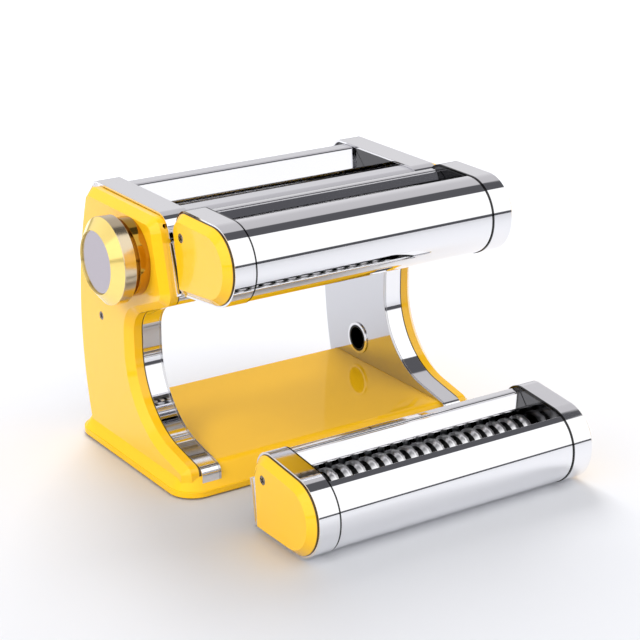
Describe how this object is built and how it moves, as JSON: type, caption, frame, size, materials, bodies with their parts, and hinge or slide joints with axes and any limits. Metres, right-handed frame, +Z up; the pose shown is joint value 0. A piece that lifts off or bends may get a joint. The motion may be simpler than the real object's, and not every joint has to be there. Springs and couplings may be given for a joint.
{
  "type": "hand-cranked pasta machine",
  "caption": "Yellow and chrome roller pasta machine with a thickness dial, a fine cutter head on its front and a wide cutter head standing beside it.",
  "frame": {"origin": "on the table, under the middle of the base", "axes": "+X along the rollers to the crank side, +Y to the back, +Z up"},
  "size_m": [0.2236, 0.2369, 0.1603],
  "materials": {
    "yellow_enamel": "gloss enamel on pressed steel",
    "yellow_cover": "gloss moulded cover",
    "chrome": "bright chrome plate",
    "polished_steel": "mirror-polished sheet",
    "roller_metal": "fine turned finish",
    "cutter_metal": "machined, bright",
    "gear_steel": "machined steel",
    "bush_brass": "turned, dull",
    "spring_steel": "drawn wire",
    "dial_yellow": "lacquered, glossy",
    "cap_grey": "satin grey",
    "foot_rubber": "matt black",
    "screw_steel": "blackened steel"
  },
  "bodies": {
    "machine": {"base_pan": "yellow_enamel", "cheek_screws": "screw_steel", "clamp_eyelet": "chrome", "crank_bush": "chrome", "dial_boss": "dial_yellow", "front_cover": "polished_steel", "front_roller_bushes": "bush_brass", "left_cheek": "yellow_enamel", "left_frame": "chrome", "left_inner_plate": "polished_steel", "left_top_band": "chrome", "rails": "chrome", "rear_cover": "polished_steel", "right_cheek": "yellow_enamel", "right_frame": "chrome", "right_inner_plate": "polished_steel", "right_top_band": "chrome", "rubber_feet": "foot_rubber", "scrapers": "spring_steel", "tie_rod_nuts": "screw_steel", "tie_rods": "gear_steel"},
    "carriage": {"carriage_bushes": "bush_brass", "carriage_left_plate": "gear_steel", "carriage_right_plate": "gear_steel", "carriage_rod": "gear_steel"},
    "dial_knob_body": {"dial_cap": "cap_grey", "dial_knob": "dial_yellow"},
    "dial_shaft_body": {"dial_shaft": "gear_steel", "dial_spring": "spring_steel", "dial_washer": "gear_steel"},
    "fine_head": {"fine_back_plate": "chrome", "fine_combs": "spring_steel", "fine_cover_screws": "screw_steel", "fine_end_plates": "polished_steel", "fine_guard": "chrome", "fine_left_band": "chrome", "fine_left_cover": "yellow_cover", "fine_right_band": "chrome", "fine_right_cover": "yellow_cover"},
    "fine_front_cutter_body": {"fine_front_cutter": "cutter_metal", "fine_front_gear": "gear_steel"},
    "fine_rear_cutter_body": {"fine_rear_cutter": "cutter_metal", "fine_rear_gear": "gear_steel"},
    "front_roller_body": {"front_roller": "roller_metal", "front_roller_gear": "gear_steel"},
    "rear_roller_body": {"rear_roller": "roller_metal", "rear_roller_gear": "gear_steel"},
    "wide_head": {"wide_back_plate": "chrome", "wide_combs": "spring_steel", "wide_cover_screws": "screw_steel", "wide_end_plates": "polished_steel", "wide_guard": "chrome", "wide_left_band": "chrome", "wide_left_cover": "yellow_cover", "wide_right_band": "chrome", "wide_right_cover": "yellow_cover"},
    "wide_front_cutter_body": {"wide_front_cutter": "cutter_metal", "wide_front_gear": "gear_steel"},
    "wide_rear_cutter_body": {"wide_rear_cutter": "cutter_metal", "wide_rear_gear": "gear_steel"}
  },
  "joints": [
    {"name": "front_roller_spin", "type": "hinge", "parent": "machine", "child": "front_roller_body", "pos_m": [0, -0.00525, 0.1253], "axis": [1, 0, 0], "continuous": true},
    {"name": "carriage_slide", "type": "slide", "parent": "machine", "child": "carriage", "axis": [0, -1, 0], "range_m": [0, 0.0026]},
    {"name": "rear_roller_spin", "type": "hinge", "parent": "carriage", "child": "rear_roller_body", "pos_m": [0, 0.02555, 0.1253], "axis": [1, 0, 0], "continuous": true},
    {"name": "dial_turn", "type": "hinge", "parent": "machine", "child": "dial_shaft_body", "pos_m": [-0.1, -0.00525, 0.1253], "axis": [1, 0, 0], "range_deg": [0, 160]},
    {"name": "dial_pull", "type": "slide", "parent": "dial_shaft_body", "child": "dial_knob_body", "axis": [-1, 0, 0], "range_m": [0, 0.004], "stiffness_N_per_m": 800, "springref_m": -0.005, "deforming": ["dial_spring"]},
    {"name": "fine_head_lift", "type": "slide", "parent": "machine", "child": "fine_head", "axis": [0, 0.2419, 0.9703], "range_m": [0, 0.06]},
    {"name": "fine_front_cutter_spin", "type": "hinge", "parent": "fine_head", "child": "fine_front_cutter_body", "pos_m": [0, -0.08177, 0.13885], "axis": [1, 0, 0], "continuous": true},
    {"name": "fine_rear_cutter_spin", "type": "hinge", "parent": "fine_head", "child": "fine_rear_cutter_body", "pos_m": [0, -0.06069, 0.13663], "axis": [1, 0, 0], "continuous": true},
    {"name": "wide_head_lift", "type": "slide", "parent": "machine", "child": "wide_head", "axis": [0, 0, 1], "range_m": [0, 0.06]},
    {"name": "wide_front_cutter_spin", "type": "hinge", "parent": "wide_head", "child": "wide_front_cutter_body", "pos_m": [0.005, -0.1511, 0.0229], "axis": [1, 0, 0], "continuous": true},
    {"name": "wide_rear_cutter_spin", "type": "hinge", "parent": "wide_head", "child": "wide_rear_cutter_body", "pos_m": [0.005, -0.1299, 0.0229], "axis": [1, 0, 0], "continuous": true}
  ],
  "couplings": [
    {"joint": "rear_roller_spin", "follows": "front_roller_spin", "ratio": -1},
    {"joint": "dial_turn", "follows": "carriage_slide", "rad_per_m": 1074},
    {"joint": "fine_rear_cutter_spin", "follows": "fine_front_cutter_spin", "ratio": -1},
    {"joint": "wide_rear_cutter_spin", "follows": "wide_front_cutter_spin", "ratio": -1}
  ]
}
